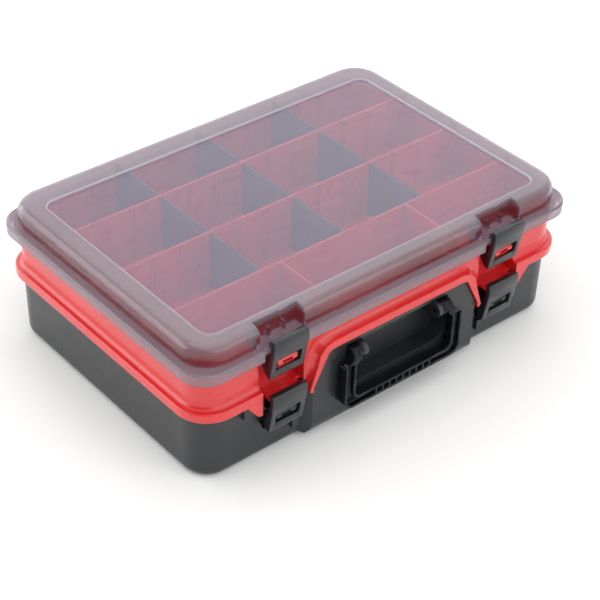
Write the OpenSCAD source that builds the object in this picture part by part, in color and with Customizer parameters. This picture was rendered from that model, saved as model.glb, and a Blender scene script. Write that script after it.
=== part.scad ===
// Two-layer fishing tackle cabinet: a charcoal base case, a red compartment tray
// hinged on it, and a clear smoke lid hinged on the tray. Two snap latches hold
// each layer, and a carry handle folds out of a bay in the front of the base.
// Millimetres, Z up, front towards -Y, origin under the middle of the base.

/* [Case] */
// Width over the straight side walls of the tray
case_w = 366; // [340:1:420]
// Depth over the straight front and back walls of the tray
case_d = 250; // [236:1:290]
// Corner radius of the tray walls, seen from above
corner_r = 22; // [19:1:28]
// Thickness of the moulded outer walls and floors
wall_t = 2.2; // [1.8:0.1:2.8]
// Clearance between shells that close over each other
shell_gap = 0.6; // [0.5:0.1:1]

/* [Base] */
// Height of the base up to its rim
base_h = 66; // [62:1:84]
// How far the base wall stands outside the tray wall at its rim
base_out = 0.5; // [0:0.1:1]
// Taper of the base wall on each side, from the rim to the bottom
base_taper = 0.8; // [0.4:0.1:2]
// Radius of the lower edge of the base
base_edge_r = 8.5; // [6:0.5:13]
// Half width of the base front that stands forward
bulge_x = 84; // [80:1:86]
// How far the base front stands forward of the tray wall
bulge_out = 7; // [6:0.5:8]
// Radius of the lower edge of the forward part
bulge_r = 14; // [10:0.5:16]

/* [Tray] */
// Height of the tray wall from its underside to the top of its rim
tray_h = 38.2; // [36:0.1:44]
// Height of the compartment walls above the tray rim
wall_rise = 14; // [8:0.5:20]
// How far the bead stands outside the tray wall
bead_out = 6; // [5:0.5:7]
// How far the bead hangs below the rim of the base
bead_drop = 6.5; // [5:0.5:8]
// Radius of the rounded edges of the bead
bead_r = 1.5; // [1:0.1:2]
// Depth of the fixed compartments along the front
front_row = 56.4; // [46:0.2:60]
// Spacing of the two middle compartment walls
mid_row = 63.6; // [50:0.2:66]
// Thickness of the compartment walls
rib_t = 1.8; // [1.4:0.1:2.4]
// Half spacing of the two fixed cross walls in the front row
cross_x = 63.5; // [56:0.5:70]

/* [Dividers] */
// Spacing of the divider slots
slot_pitch = 27.3; // [25:0.1:28]
// Thickness of a divider plate
divider_t = 1.6; // [1.2:0.1:2]
// Clearance between a divider and its slot or floor
divider_gap = 0.3; // [0.2:0.05:0.4]
// Height and width of the small ribs on both sides of a slot
slot_rib = 1; // [0.8:0.1:1.4]

/* [Lid] */
// Height of the lid skirt
skirt_h = 9; // [8:0.5:11]
// How far the lid skirt stands outside the tray wall
skirt_out = 7.5; // [6:0.1:7.8]
// Corner radius of the lid skirt
skirt_r = 22; // [18:1:28]
// How far the raised body of the lid stands outside the tray wall
dome_out = 1.6; // [1:0.1:2]
// Corner radius of the raised body of the lid
dome_r = 26; // [18:1:30]
// Height of the raised body of the lid above its skirt
dome_h = 17; // [16:0.5:24]
// Radius of the shoulder round the top of the lid
shoulder_r = 8; // [5:0.5:9]
// Depth of the window panel below the border
panel_drop = 1.5; // [1:0.1:2]
// Border between the window panel and the lid wall at the sides
border_side = 18.7; // [16:0.1:24]
// Border at the front
border_front = 16; // [15:0.1:18]
// Border at the back
border_back = 24.8; // [18:0.1:28]
// Corner radius of the window panel
panel_r = 10; // [6:1:16]

/* [Latches] */
// Distance of each latch from the middle of the case
latch_x = 110.5; // [109:0.5:114]
// Width of a latch
latch_w = 32; // [28:0.5:34]
// Width of a latch pocket
pocket_w = 41; // [38:0.5:42]
// Depth of a latch pocket behind the front tray wall
pocket_d = 7.8; // [7:0.1:9]
// Distance of the latch pivot in front of the tray wall
pivot_out = 5; // [4.5:0.1:5.5]
// Height of the lower latch pivot below the rim of the base
low_pivot_drop = 26; // [24:0.5:27]
// Height of the latch above its pivot
latch_up = 24.5; // [24:0.5:26]
// Length of the latch below its pivot
latch_down = 11.5; // [10:0.5:12]
// Radius of the latch pivot pin
latch_pin_r = 1.6; // [1.4:0.05:1.8]
// Width of the bearing lug behind a latch
lug_w = 18; // [14:0.5:20]
// Radius of the bearing lug
lug_r = 3.3; // [3:0.1:3.5]
// Running clearance on the latch and handle pivots
pin_gap = 0.05; // [0.03:0.01:0.1]

/* [Handle] */
// Width over the arms of the handle
handle_w = 120; // [116:1:124]
// Width of an arm and height of the grip
arm_w = 10; // [8:0.5:11]
// Front to back thickness of the handle
handle_t = 8; // [7:0.5:9]
// Distance from the handle pivot to the lower edge of the grip
handle_len = 47; // [40:1:50]
// Depth of the channel in the front of the handle
channel_d = 4.5; // [3:0.5:6]
// Width of the rims beside the channel
channel_rim = 1.8; // [1.4:0.1:2.4]
// Number of small ribs across the grip
grip_ribs = 9; // [5:2:11]
// Spacing of the ribs across the grip
grip_pitch = 7; // [6:0.5:8]
// Radius of the handle hub
hub_r = 6.2; // [5.5:0.1:6.6]
// Radius of the handle pivot pin
handle_pin_r = 3; // [2.5:0.1:3.4]
// Distance of each bay wall inside the outer edge of the handle arm
bay_in = 8; // [7:0.5:9]
// Depth of the bay behind the front face of the base
bay_d = 16; // [14:0.5:17]
// Height of the bay floor above the grip edge
bay_floor = 14; // [12:0.5:18]

/* [Arch] */
// Half width of the flat top of the arch over the bay
arch_x = 64; // [60:0.5:65]
// Half width of the arch at the tips of its legs
arch_foot_x = 85.4; // [82:0.2:86]
// Height of the arch opening above the rim of the base
arch_rise = 14.4; // [12:0.2:15]
// Depth of the leg tips below the rim of the base
leg_drop = 18.5; // [15:0.5:20]
// Height of the band round the arch
band_w = 6.6; // [5:0.2:7]
// How far the band stands outside the tray wall
band_out = 9.5; // [9:0.1:10]

/* [Hinges] */
// Distance of each hinge from the side wall of the case
hinge_in = 73; // [60:1:90]
// Length of a hinge
hinge_len = 44; // [36:1:60]
// Radius of a hinge pin
hinge_pin_r = 1.5; // [1.2:0.1:1.8]
// Outer radius of a hinge knuckle
knuckle_r = 4.3; // [3.8:0.1:4.5]
// Distance of the hinge axes behind the back edge of the lid skirt
hinge_out = 5; // [4.9:0.1:6]

/* [Hidden] */
$fn = 64;

eps = 0.01;
seat = 0.3;                                   // gap between the stacked layers
front_y = -case_d / 2;                        // front face of the tray wall
tray_z = base_h + seat;                       // underside of the tray floor
tray_floor = tray_z + wall_t;
rim_z = tray_z + tray_h;                      // top of the tray rim
wall_top = rim_z + wall_rise;
step_z = rim_z + seat;                        // underside of the step in the lid
step_top = step_z + wall_t;
skirt_z = step_top - skirt_h;                 // lower edge of the lid skirt
lid_top = step_top + dome_h;
bead_z = base_h - bead_drop;                  // lower edge of the bead
bead_top = tray_z + 1.7;
fillet_r = bead_out - bead_r;                 // hollow fillet above the bead
rim_t = 2.5;                                  // height of the outer rims

base_w = case_w + 2 * base_out;
base_d = case_d + 2 * base_out - 2;
base_r = corner_r + base_out;
base_front = -base_d / 2;
bulge_y = front_y - bulge_out;                // front face of the base

pocket_y = front_y + pocket_d;                // back wall of the latch pockets
pivot_y = front_y - pivot_out;
low_pivot_z = base_h - low_pivot_drop;
high_pivot_z = rim_z + 10.5 - latch_up;
plate_t = 2.2;
cheek_w = 4.5;
hook_y = -pivot_out / 2;                      // end of the hook, from the pivot
catch_y = pivot_y + hook_y + 0.25;            // front edge of the catches
catch_t = 2.6;
pocket_floor = low_pivot_z - latch_down - 2.5;
low_catch_top = low_pivot_z + latch_up - plate_t - seat;
high_catch_top = high_pivot_z + latch_up - plate_t - seat;
drop_wall = low_catch_top - 4;                // lower edge of the tray in the pockets

bay_x = handle_w / 2 - bay_in;                // half width of the handle bay
handle_z = base_h + 1;                        // height of the handle pivot
handle_y = bulge_y - 2;                       // pivot in front of the base face
bay_y = bulge_y + bay_d;                      // back wall of the bay
bay_z = handle_z - handle_len + bay_floor;    // floor of the bay
bay_top = handle_z + hub_r + 1.3;
bay_r = 12;                                   // lower corners of the bay
ear_t = 4;
hub_x = handle_w / 2 - arm_w - 9;             // inner end of the hubs
arch_z = base_h + arch_rise;
leg_z = base_h - leg_drop;
housing_back = bay_y + wall_t;

hinge_x = case_w / 2 - hinge_in;
hinge_y = case_d / 2 + max(bead_out, skirt_out) + hinge_out;
low_hinge_z = bead_z - 1;
high_hinge_z = skirt_z - 1;
knuckle_gap = 0.4;
knuckle_mid = hinge_len * 0.45;

inner_w = case_w - 2 * wall_t;
inner_d = case_d - 2 * wall_t;
wall_y3 = -inner_d / 2 + front_row;           // front compartment wall
wall_y2 = wall_y3 + mid_row;
wall_y1 = wall_y2 + mid_row;
slot_w = divider_t + 2 * divider_gap;
divider_step = 3 * slot_pitch;
slot_n = floor((inner_w / 2 - 12) / slot_pitch);

dome_w = case_w + 2 * dome_out;
dome_d = case_d + 2 * dome_out;
panel_w = dome_w - 2 * border_side;
panel_d = dome_d - border_front - border_back;
panel_y = (border_front - border_back) / 2;
notch_y = -dome_d / 2 + 10.6;                 // front of the notch back wall

base_split_y = 0;                             // middle wall of the base
bulge_back = base_front + base_edge_r + base_taper + 1;

// ---------------------------------------------------------------- shapes

// Rounded rectangle about the origin
module rrect(w, d, r) {
    square([w - 2 * r, d], center = true);
    square([w, d - 2 * r], center = true);
    for (x = [-1, 1], y = [-1, 1])
        translate([x * (w / 2 - r), y * (d / 2 - r)]) circle(r);
}

// Ring between two rounded rectangles, from z0 to z1
module ring(w, d, r, outer, inner, z0, z1) {
    translate([0, 0, z0]) linear_extrude(z1 - z0) difference() {
        rrect(w + 2 * outer, d + 2 * outer, r + outer);
        rrect(w + 2 * inner, d + 2 * inner, r + inner);
    }
}

// Profile (x outwards, y up) swept round a rounded rectangle
module sweep(w, d, r) {
    for (i = [0 : 3]) {
        sx = (i == 0 || i == 3) ? 1 : -1;
        sy = (i < 2) ? 1 : -1;
        translate([sx * (w / 2 - r), sy * (d / 2 - r), 0]) rotate([0, 0, 90 * i])
            rotate_extrude(angle = 90) translate([r, 0]) children();
    }
    for (s = [0, 180]) rotate([0, 0, s]) {
        translate([w / 2, d / 2 - r, 0]) rotate([90, 0, 0])
            linear_extrude(d - 2 * r) children();
        translate([-(w / 2 - r), d / 2, 0]) rotate([90, 0, 90])
            linear_extrude(w - 2 * r) children();
    }
}

// Outline in X and Z, from y0 back to y1
module front_cut(y0, y1) {
    translate([0, y1, 0]) rotate([90, 0, 0]) linear_extrude(y1 - y0) children();
}

// Outline in Y and Z, from x0 to x1
module side_cut(x0, x1) {
    translate([x0, 0, 0]) rotate([90, 0, 90]) linear_extrude(x1 - x0) children();
}

module block(x0, x1, y0, y1, z0, z1) {
    translate([x0, y0, z0]) cube([x1 - x0, y1 - y0, z1 - z0]);
}

module x_rod(x0, x1, y, z, r) {
    translate([x0, y, z]) rotate([0, 90, 0]) cylinder(r = r, h = x1 - x0);
}

module both_sides() {
    children();
    mirror([1, 0, 0]) children();
}

// Half of the opening under the arch, drawn in by g
module arch_half(g) {
    polygon([[-eps, leg_z - 2], [arch_foot_x - g, leg_z - 2], [arch_foot_x - g, leg_z + 4],
        [arch_x + 9 - g, arch_z - 5], [arch_x + 7.5 - g, arch_z - 2 - g / 2],
        [arch_x + 4.5 - g, arch_z - 0.5 - g], [arch_x - g, arch_z - g], [-eps, arch_z - g]]);
}

// Half of the outer edge of the arch band
module band_half() {
    polygon([[-eps, leg_z], [arch_foot_x + 1.5, leg_z], [arch_foot_x + 3.6, leg_z + 1.6],
        [arch_x + 17.4, arch_z - 8.5], [arch_x + 15.5, arch_z - 1],
        [arch_x + 10.5, arch_z + 4.5], [arch_x + 2, arch_z + band_w],
        [-eps, arch_z + band_w]]);
}

// Window outline of a latch pocket, seen from the front
module pocket_outline(z_top) {
    h = pocket_w / 2;
    polygon([[latch_x - h, z_top], [latch_x - h, pocket_floor + 14],
        [latch_x - h + 6, pocket_floor], [latch_x + h - 6, pocket_floor],
        [latch_x + h, pocket_floor + 14], [latch_x + h, z_top]]);
}

// Bearing lug for a latch, standing on a pocket wall
module latch_lug(z) {
    x0 = latch_x - lug_w / 2;
    x1 = latch_x + lug_w / 2;
    difference() {
        union() {
            x_rod(x0, x1, pivot_y, z, lug_r);
            block(x0, x1, pivot_y, pocket_y + eps, z + 0.6, z + lug_r);
        }
        x_rod(x0 - 1, x1 + 1, pivot_y, z, latch_pin_r + pin_gap);
        block(latch_x - lug_w / 4, latch_x + lug_w / 4, pivot_y - lug_r - 1, pivot_y,
            z - 1.2, z + 1.2);
    }
}

// Row of knuckles with their arms: the outer pair or the middle one
module knuckles(z, root_y, outer, up) {
    x0 = hinge_x - hinge_len / 2;
    x1 = hinge_x + hinge_len / 2;
    m = knuckle_mid / 2;
    spans = outer ? [[x0, hinge_x - m - knuckle_gap], [hinge_x + m + knuckle_gap, x1]]
                  : [[hinge_x - m, hinge_x + m]];
    for (s = spans) difference() {
        union() {
            x_rod(s[0], s[1], hinge_y, z, knuckle_r);
            if (up) block(s[0], s[1], root_y, hinge_y, z + 1, z + knuckle_r);
            else block(s[0], s[1], root_y, hinge_y, z - knuckle_r, z - 0.2);
        }
        x_rod(s[0] - 1, s[1] + 1, hinge_y, z, hinge_pin_r + (outer ? 0.02 : pin_gap));
    }
}

// Compartment wall along X with slot ribs on the named sides
module slotted_wall(y, half_w, sides, z0, z1) {
    translate([0, y, z0]) linear_extrude(z1 - z0) {
        square([2 * half_w, rib_t], center = true);
        for (s = sides) slot_ribs(s * rib_t / 2, s);
    }
}

// Pairs of small ribs along a wall face
module slot_ribs(y, s) {
    for (k = [-slot_n : slot_n], e = [-1, 1])
        translate([k * slot_pitch + e * (slot_w + slot_rib) / 2, y + s * slot_rib / 2])
            square([slot_rib, slot_rib + eps], center = true);
}

// ---------------------------------------------------------------- base

// Section of the base wall, floor and lower edge, drawn in by g
module base_section(g) {
    e = base_edge_r;
    translate([-17, g]) square([17 - base_taper - e, base_h + 1 - g]);
    translate([-base_taper - e, e]) circle(e - g);
    polygon([[-17, e], [-base_taper - g, e], [-g, base_h - rim_t - 1], [-g, base_h + 1],
        [-17, base_h + 1]]);
}

module base_profile() {
    rim_x = bead_out - base_out - wall_t - shell_gap;
    difference() {
        union() {
            intersection() {
                base_section(0);
                translate([-16, 0]) square([17, base_h]);
            }
            polygon([[-1, base_h - rim_t - 1], [0, base_h - rim_t - 1],
                [rim_x, base_h - rim_t], [rim_x, base_h], [-1, base_h]]);
        }
        base_section(wall_t);
    }
}

// Section of the forward part of the front, in Y and Z, drawn in by g
module bulge_section(g, z1) {
    intersection() {
        translate([bulge_y + bulge_r, bulge_r]) circle(bulge_r - g);
        translate([bulge_y, 0]) square([bulge_r + eps, bulge_r + eps]);
    }
    translate([bulge_y + bulge_r, g]) square([bulge_back + g - bulge_y - bulge_r, bulge_r]);
    translate([bulge_y + g, bulge_r])
        square([base_front + 3 + (g > 0 ? 12 : 0) - bulge_y - g, z1 - bulge_r]);
}

// Forward part seen from the front, with slanted lower corners, drawn in by g
module bulge_front(g) {
    h = bulge_r / 2;
    x = 2 * g;
    polygon([[-bulge_x - 9 + x, arch_z], [-bulge_x - 9 + x, h], [-bulge_x + 3 + x, 0],
        [bulge_x - 3 - x, 0], [bulge_x + 9 - x, h], [bulge_x + 9 - x, arch_z]]);
}

module base_front_solid() {
    // forward part of the front, with slanted sides and a rounded lower edge
    intersection() {
        front_cut(bulge_y - 1, bulge_back + 1) bulge_front(0);
        linear_extrude(leg_z - shell_gap)
            polygon([[-bulge_x - 9, base_front + 2], [-bulge_x, bulge_y], [bulge_x, bulge_y],
                [bulge_x + 9, base_front + 2], [bulge_x, base_front + 2],
                [bulge_x, bulge_back], [-bulge_x, bulge_back], [-bulge_x, base_front + 2]]);
        side_cut(-bulge_x - 10, bulge_x + 10) bulge_section(0, leg_z + 1);
    }
    // housing of the handle bay, up into the arch
    front_cut(bulge_y, housing_back) both_sides() arch_half(shell_gap);
    front_cut(bulge_y + 1, housing_back) bay_outline(wall_t);
}

// Outline of the handle bay seen from the front, grown by g
module bay_outline(g) {
    for (s = [-1, 1]) translate([s * (bay_x - bay_r), bay_z + bay_r]) circle(bay_r + g);
    translate([-bay_x - g, bay_z + bay_r])
        square([2 * (bay_x + g), bay_top + g - bay_z - bay_r]);
    translate([-bay_x + bay_r, bay_z - g]) square([2 * (bay_x - bay_r), bay_r + g]);
}

// Space inside the forward part, open to the compartments below the rim
module base_hollow() {
    half = bulge_x - wall_t;
    intersection() {
        union() {
            front_cut(bulge_y, base_front + wall_t + 1) difference() {
                union() {
                    translate([-half, 0]) square([2 * half, leg_z]);
                    both_sides() arch_half(shell_gap + wall_t);
                }
                bay_outline(wall_t);
                both_sides() translate([latch_x - pocket_w / 2 - wall_t, 0])
                    square([pocket_w, base_h]);
            }
            front_cut(base_front, bulge_back + wall_t) difference() {
                translate([-half, 0]) square([2 * half, base_h - 4]);
                bay_outline(wall_t);
            }
        }
        side_cut(-bulge_x, bulge_x) bulge_section(wall_t, arch_z);
        front_cut(bulge_y - 1, bulge_back + wall_t + 1) bulge_front(wall_t);
    }
}

module base_case() {
    color("#3c3f43") difference() {
        union() {
            sweep(base_w, base_d, base_r) base_profile();
            linear_extrude(wall_t) rrect(base_w - 2 * base_edge_r - 4,
                base_d - 2 * base_edge_r - 4, base_r - base_edge_r - 2);
            difference() {
                base_front_solid();
                base_hollow();
            }
            // walls behind the latch pockets
            both_sides() block(latch_x - pocket_w / 2 - wall_t,
                latch_x + pocket_w / 2 + wall_t, base_front + 0.5, pocket_y + wall_t,
                pocket_floor - wall_t, base_h - 4);
            // strips beside the tips of the outer legs
            both_sides() block(latch_x + pocket_w / 2 + 5.5, latch_x + pocket_w / 2 + 15,
                base_front - 3.4, base_front + 1, leg_z, base_h - bead_drop - 1);
            // small stop rib under each latch
            both_sides() block(latch_x - 16.5, latch_x - 10.5, base_front - 3.5,
                base_front + 1, pocket_floor - 10, pocket_floor - 0.5);
            // middle wall with divider slots
            intersection() {
                slotted_wall(base_split_y, base_w / 2, [-1, 1], wall_t / 2, base_h - 2);
                front_cut(base_split_y - 5, base_split_y + 5) {
                    both_sides() translate([base_w / 2, 0]) base_section(wall_t / 2);
                    translate([16 - base_w / 2, wall_t / 2]) square([base_w - 32, base_h]);
                }
            }
            // bearing ears for the handle
            both_sides() {
                x_rod(hub_x - 0.4 - ear_t, hub_x - 0.4, handle_y, handle_z, hub_r);
                block(hub_x - 0.4 - ear_t, hub_x - 0.4, handle_y, bay_y + 1,
                    handle_z - hub_r, handle_z + hub_r);
            }
            both_sides() knuckles(low_hinge_z, base_d / 2 - 1, true, false);
        }
        // handle bay
        difference() {
            front_cut(bulge_y - 1, bay_y) bay_outline(0);
            both_sides() block(hub_x - 0.4 - ear_t, hub_x - 0.4, handle_y - 10, bay_y + 1,
                handle_z - hub_r, handle_z + hub_r);
        }
        both_sides() x_rod(hub_x - 5 - ear_t, hub_x + 1, handle_y, handle_z,
            handle_pin_r + pin_gap);
        // front wall inside the forward part and behind the bay
        base_hollow();
        // rim cut back round the arch and the latch pockets
        difference() {
            both_sides() block(arch_x, latch_x + pocket_w / 2 + 16, bulge_y - 5,
                base_front - eps, base_h - rim_t - 1.2, base_h + 1);
            front_cut(bulge_y - 6, base_front + 1) both_sides() arch_half(shell_gap);
        }
        both_sides() front_cut(base_front - 10, pocket_y) pocket_outline(base_h + 1);
        both_sides() block(latch_x - pocket_w / 2 - wall_t - 1,
            latch_x + pocket_w / 2 + wall_t + 1, base_front - 10, pocket_y + wall_t + 1,
            drop_wall - seat, base_h + 1);
    }
    color("#3c3f43") both_sides() latch_lug(low_pivot_z);
}

// ---------------------------------------------------------------- tray

module bead_profile() {
    difference() {
        union() {
            intersection() {
                for (z = [bead_z + bead_r, bead_top - bead_r])
                    translate([bead_out - bead_r, z]) circle(bead_r);
                translate([bead_out - bead_r, bead_z]) square([bead_r, bead_top - bead_z]);
            }
            translate([bead_out - wall_t, bead_z + bead_r])
                square([wall_t, bead_top - bead_z - 2 * bead_r]);
            translate([bead_out - wall_t, bead_z]) square([wall_t - bead_r, bead_r + 1]);
            translate([-wall_t, tray_z])
                square([bead_out + wall_t - bead_r, bead_top - tray_z]);
            translate([-1, bead_top - eps]) square([fillet_r + 1, fillet_r + eps]);
        }
        translate([fillet_r, bead_top + fillet_r]) circle(fillet_r);
    }
}

module tray_front() {
    // raised band of the arch with its legs
    front_cut(front_y - band_out, front_y) difference() {
        both_sides() band_half();
        both_sides() arch_half(0);
    }
    front_cut(front_y - 1, front_y + 1) intersection() {
        difference() {
            both_sides() band_half();
            both_sides() arch_half(0);
        }
        translate([-case_w / 2, tray_z]) square([case_w, tray_h]);
    }
    // wall between the legs and the latch pockets
    front_cut(front_y - wall_t, front_y) difference() {
        both_sides() translate([0, leg_z + 1])
            square([latch_x - pocket_w / 2, rim_z - rim_t - leg_z - 1]);
        both_sides() arch_half(0);
    }
    // hollow fillet over the band
    side_cut(-arch_x - 2, arch_x + 2) difference() {
        translate([front_y - fillet_r - 2, arch_z + band_w - eps])
            square([fillet_r + 2.5, fillet_r]);
        translate([front_y - fillet_r - 2, arch_z + band_w + fillet_r]) circle(fillet_r);
    }
    // legs outside the latch pockets
    both_sides() {
        front_cut(front_y - bead_out, front_y - bead_out + wall_t)
            polygon([[latch_x + pocket_w / 2, bead_top - bead_r],
                [latch_x + pocket_w / 2, leg_z - 0.5], [latch_x + pocket_w / 2 + 4, leg_z],
                [latch_x + pocket_w / 2 + 13.5, bead_z], [latch_x + pocket_w / 2 + 15, bead_top - bead_r]]);
        block(latch_x + pocket_w / 2, latch_x + pocket_w / 2 + wall_t,
            front_y - bead_out, front_y + 0.1, leg_z - 0.5, bead_top - bead_r);
        block(latch_x + pocket_w / 2, latch_x + pocket_w / 2 + wall_t,
            front_y - 1, front_y + 0.6, drop_wall, bead_top - bead_r);
    }
}

module tray_pocket() {
    h = pocket_w / 2;
    difference() {
        // pocket walls and the wall that hangs in front of the base
        block(latch_x - h - wall_t, latch_x + h + wall_t, front_y + 0.2, pocket_y + wall_t,
            drop_wall, rim_z);
        block(latch_x - h, latch_x + h, front_y - 1, pocket_y, drop_wall - 1, rim_z + 1);
    }
}

module tray() {
    h = pocket_w / 2;
    color("#d8232a") union() {
        difference() {
            union() {
                translate([0, 0, tray_z])
                    linear_extrude(wall_t) rrect(case_w, case_d, corner_r);
                ring(case_w, case_d, corner_r, 0, -wall_t, tray_z, rim_z);
                ring(case_w, case_d, corner_r, skirt_out - wall_t - shell_gap, -wall_t,
                    rim_z - rim_t, rim_z);
                sweep(case_w, case_d, corner_r) bead_profile();
                tray_front();
                // compartment walls
                slotted_wall(wall_y1, inner_w / 2 + 0.5, [-1, 1], tray_z, wall_top);
                slotted_wall(wall_y2, inner_w / 2 + 0.5, [-1, 1], tray_z, wall_top);
                slotted_wall(wall_y3, inner_w / 2 + 0.5, [1], tray_z, wall_top);
                both_sides() block(cross_x - rib_t / 2, cross_x + rib_t / 2,
                    -inner_d / 2 - 0.5, wall_y3, tray_z, wall_top);
                translate([0, inner_d / 2, tray_z]) linear_extrude(tray_h)
                    slot_ribs(0, -1);
                both_sides() knuckles(low_hinge_z, case_d / 2 + bead_out - 1, false, true);
                both_sides() knuckles(high_hinge_z, case_d / 2 - 1, true, false);
                // recess over the housing of the handle bay
                block(-arch_foot_x, arch_foot_x, front_y, housing_back + shell_gap + wall_t,
                    tray_z, arch_z + wall_t);
            }
            // opening for the housing of the handle bay
            front_cut(front_y - 20, housing_back + shell_gap)
                both_sides() arch_half(0);
            // latch pockets, open through the bead and the rim
            both_sides() block(latch_x - h, latch_x + h, front_y - 20, pocket_y,
                leg_z - 10, rim_z + 1);
        }
        both_sides() {
            tray_pocket();
            // catch for the lower latch
            block(latch_x - h - 1, latch_x + h + 1, front_y + 1, pocket_y + 0.5,
                drop_wall, drop_wall + wall_t);
            block(latch_x - latch_w / 2 + 1, latch_x + latch_w / 2 - 1, catch_y,
                pocket_y + 0.5, drop_wall, drop_wall + wall_t);
            block(latch_x - latch_w / 2 + 1, latch_x + latch_w / 2 - 1, catch_y,
                catch_y + catch_t, drop_wall, low_catch_top);
            latch_lug(high_pivot_z);
        }
    }
}

// ---------------------------------------------------------------- lid

// Wall and rounded shoulder of the raised body
module lid_profile() {
    s = shoulder_r;
    difference() {
        union() {
            translate([-s, step_z]) square([s, lid_top - s - step_z]);
            translate([-s, lid_top - s]) circle(s);
        }
        translate([-s, lid_top - s]) circle(s - wall_t);
        translate([-s - 1, step_z - 1]) square([s + 1 - wall_t, lid_top - s - step_z + 1]);
        translate([-2 * s - 1, step_z - 1]) square([s + 0.8, dome_h + wall_t + 2]);
    }
}

// Skirt with a rounded upper edge
module skirt_profile() {
    translate([-wall_t, skirt_z]) square([wall_t, skirt_h - 2]);
    intersection() {
        translate([-2, step_top - 2]) circle(2);
        translate([-wall_t, step_z - 0.5]) square([wall_t, wall_t + 0.5]);
    }
}

// Section through the front edge of the raised body, filled
module dome_section() {
    s = shoulder_r;
    translate([0, step_z]) square([20, lid_top - s - step_z]);
    translate([s, step_z]) square([20 - s, lid_top - step_z]);
    translate([s, lid_top - s]) circle(s);
}

module lid_notch_box(g) {
    h = pocket_w / 2;
    block(latch_x - h - g, latch_x + h + g, -dome_d / 2 - 20, notch_y + g,
        step_top - (g > 0 ? wall_t : 0), lid_top - (g > 0 ? 0 : -1));
}

module lid() {
    h = pocket_w / 2;
    color("#8d8890", 0.55) difference() {
        union() {
            difference() {
                union() {
                    sweep(dome_w, dome_d, dome_r) lid_profile();
                    sweep(case_w + 2 * skirt_out, case_d + 2 * skirt_out, skirt_r)
                        skirt_profile();
                    // step between the skirt and the raised body
                    translate([0, 0, step_z]) linear_extrude(wall_t) difference() {
                        rrect(case_w + 2 * skirt_out - 3, case_d + 2 * skirt_out - 3,
                            skirt_r - 1.5);
                        rrect(dome_w - 2 * wall_t, dome_d - 2 * wall_t, dome_r - wall_t);
                    }
                    // border and window panel
                    translate([0, 0, lid_top - 2]) linear_extrude(2)
                        rrect(dome_w - 2 * shoulder_r + 0.4, dome_d - 2 * shoulder_r + 0.4,
                            dome_r - shoulder_r + 0.2);
                    translate([0, panel_y, lid_top - panel_drop - 2]) linear_extrude(2)
                        rrect(panel_w + 4, panel_d + 4, panel_r + 2);
                }
                both_sides() lid_notch_box(0);
            }
            // walls round the latch notches
            both_sides() intersection() {
                difference() {
                    lid_notch_box(wall_t);
                    lid_notch_box(0);
                }
                side_cut(latch_x - h - wall_t - 1, latch_x + h + wall_t + 1)
                    translate([-dome_d / 2, 0]) dome_section();
            }
            // floor of the notches with the catch for the latch hook
            both_sides() {
                block(latch_x - h - 1, latch_x + h + 1, catch_y + 0.6, notch_y + 1,
                    step_z, step_top);
                block(latch_x - latch_w / 2 + 1, latch_x + latch_w / 2 - 1, catch_y,
                    catch_y + catch_t, step_z, high_catch_top);
                for (e = [-1, 1])
                    block(latch_x + e * pocket_w / 6 - 0.8, latch_x + e * pocket_w / 6 + 0.8,
                        notch_y - 5, notch_y + 0.5, step_top - 0.5, step_top + 8);
            }
            both_sides() knuckles(high_hinge_z, dome_d / 2 + skirt_out - dome_out - 1,
                false, true);
        }
        // recess of the window panel
        translate([0, panel_y, lid_top - panel_drop]) linear_extrude(3)
            rrect(panel_w, panel_d, panel_r);
        // skirt open below the notches
        both_sides() block(latch_x - h, latch_x + h, -dome_d / 2 - 10, front_y + 0.6,
            skirt_z - 1, step_z);
    }
}

// ---------------------------------------------------------------- latches

// Latch about its pivot at the origin
module latch() {
    k = pivot_out / 5;
    w = latch_w / 2;
    win = w - cheek_w;
    u = latch_up;
    d = latch_down;
    face = [[-7 * k, u], [-8 * k, u - 4.5 * k], [-7.6 * k, u - 9 * k], [-4.6 * k, 0],
        [-2.5 * k, -d]];
    inner = [[-0.4 * k, -d], [-2.4 * k, 0], [-5.2 * k, u - 9 * k], [-5.7 * k, u - 4.5 * k],
        [-5.2 * k, u - plate_t], [hook_y, u - plate_t], [hook_y, u]];
    difference() {
        union() {
            side_cut(-w, w) polygon(concat(face, inner));
            // cheeks
            for (s = [-1, 1]) side_cut(s > 0 ? win : -w, s > 0 ? w : -win)
                polygon([[-6.6 * k, u - k], [-7.6 * k, u - 5 * k], [-7.2 * k, u - 9 * k],
                    [-4.2 * k, 0], [-2.4 * k, -d], [2.5 * k, -d + 1.5 * k],
                    [7 * k, -d + 8 * k], [7 * k, 3 * k], [1.2 * k, 8.5 * k], [-3 * k, 13 * k],
                    [-3.2 * k, u - k]]);
            x_rod(-win - 1, win + 1, 0, 0, latch_pin_r);
        }
        // window
        block(-win, win, -20 * k, -latch_pin_r - 0.1, -4 * k, 7 * k);
        // slits beside the lower bar
        for (s = [-1, 1]) block(s * (win - 0.4) - 0.4, s * (win - 0.4) + 0.4, -20 * k, -3 * k,
            -d - 1, -4 * k);
    }
}

module place_latch(side, z) {
    color("#1d1e20") translate([side * latch_x, pivot_y, z]) latch();
}

module lower_latch_left() { place_latch(-1, low_pivot_z); }
module lower_latch_right() { place_latch(1, low_pivot_z); }
module upper_latch_left() { place_latch(-1, high_pivot_z); }
module upper_latch_right() { place_latch(1, high_pivot_z); }

// ---------------------------------------------------------------- handle

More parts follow.
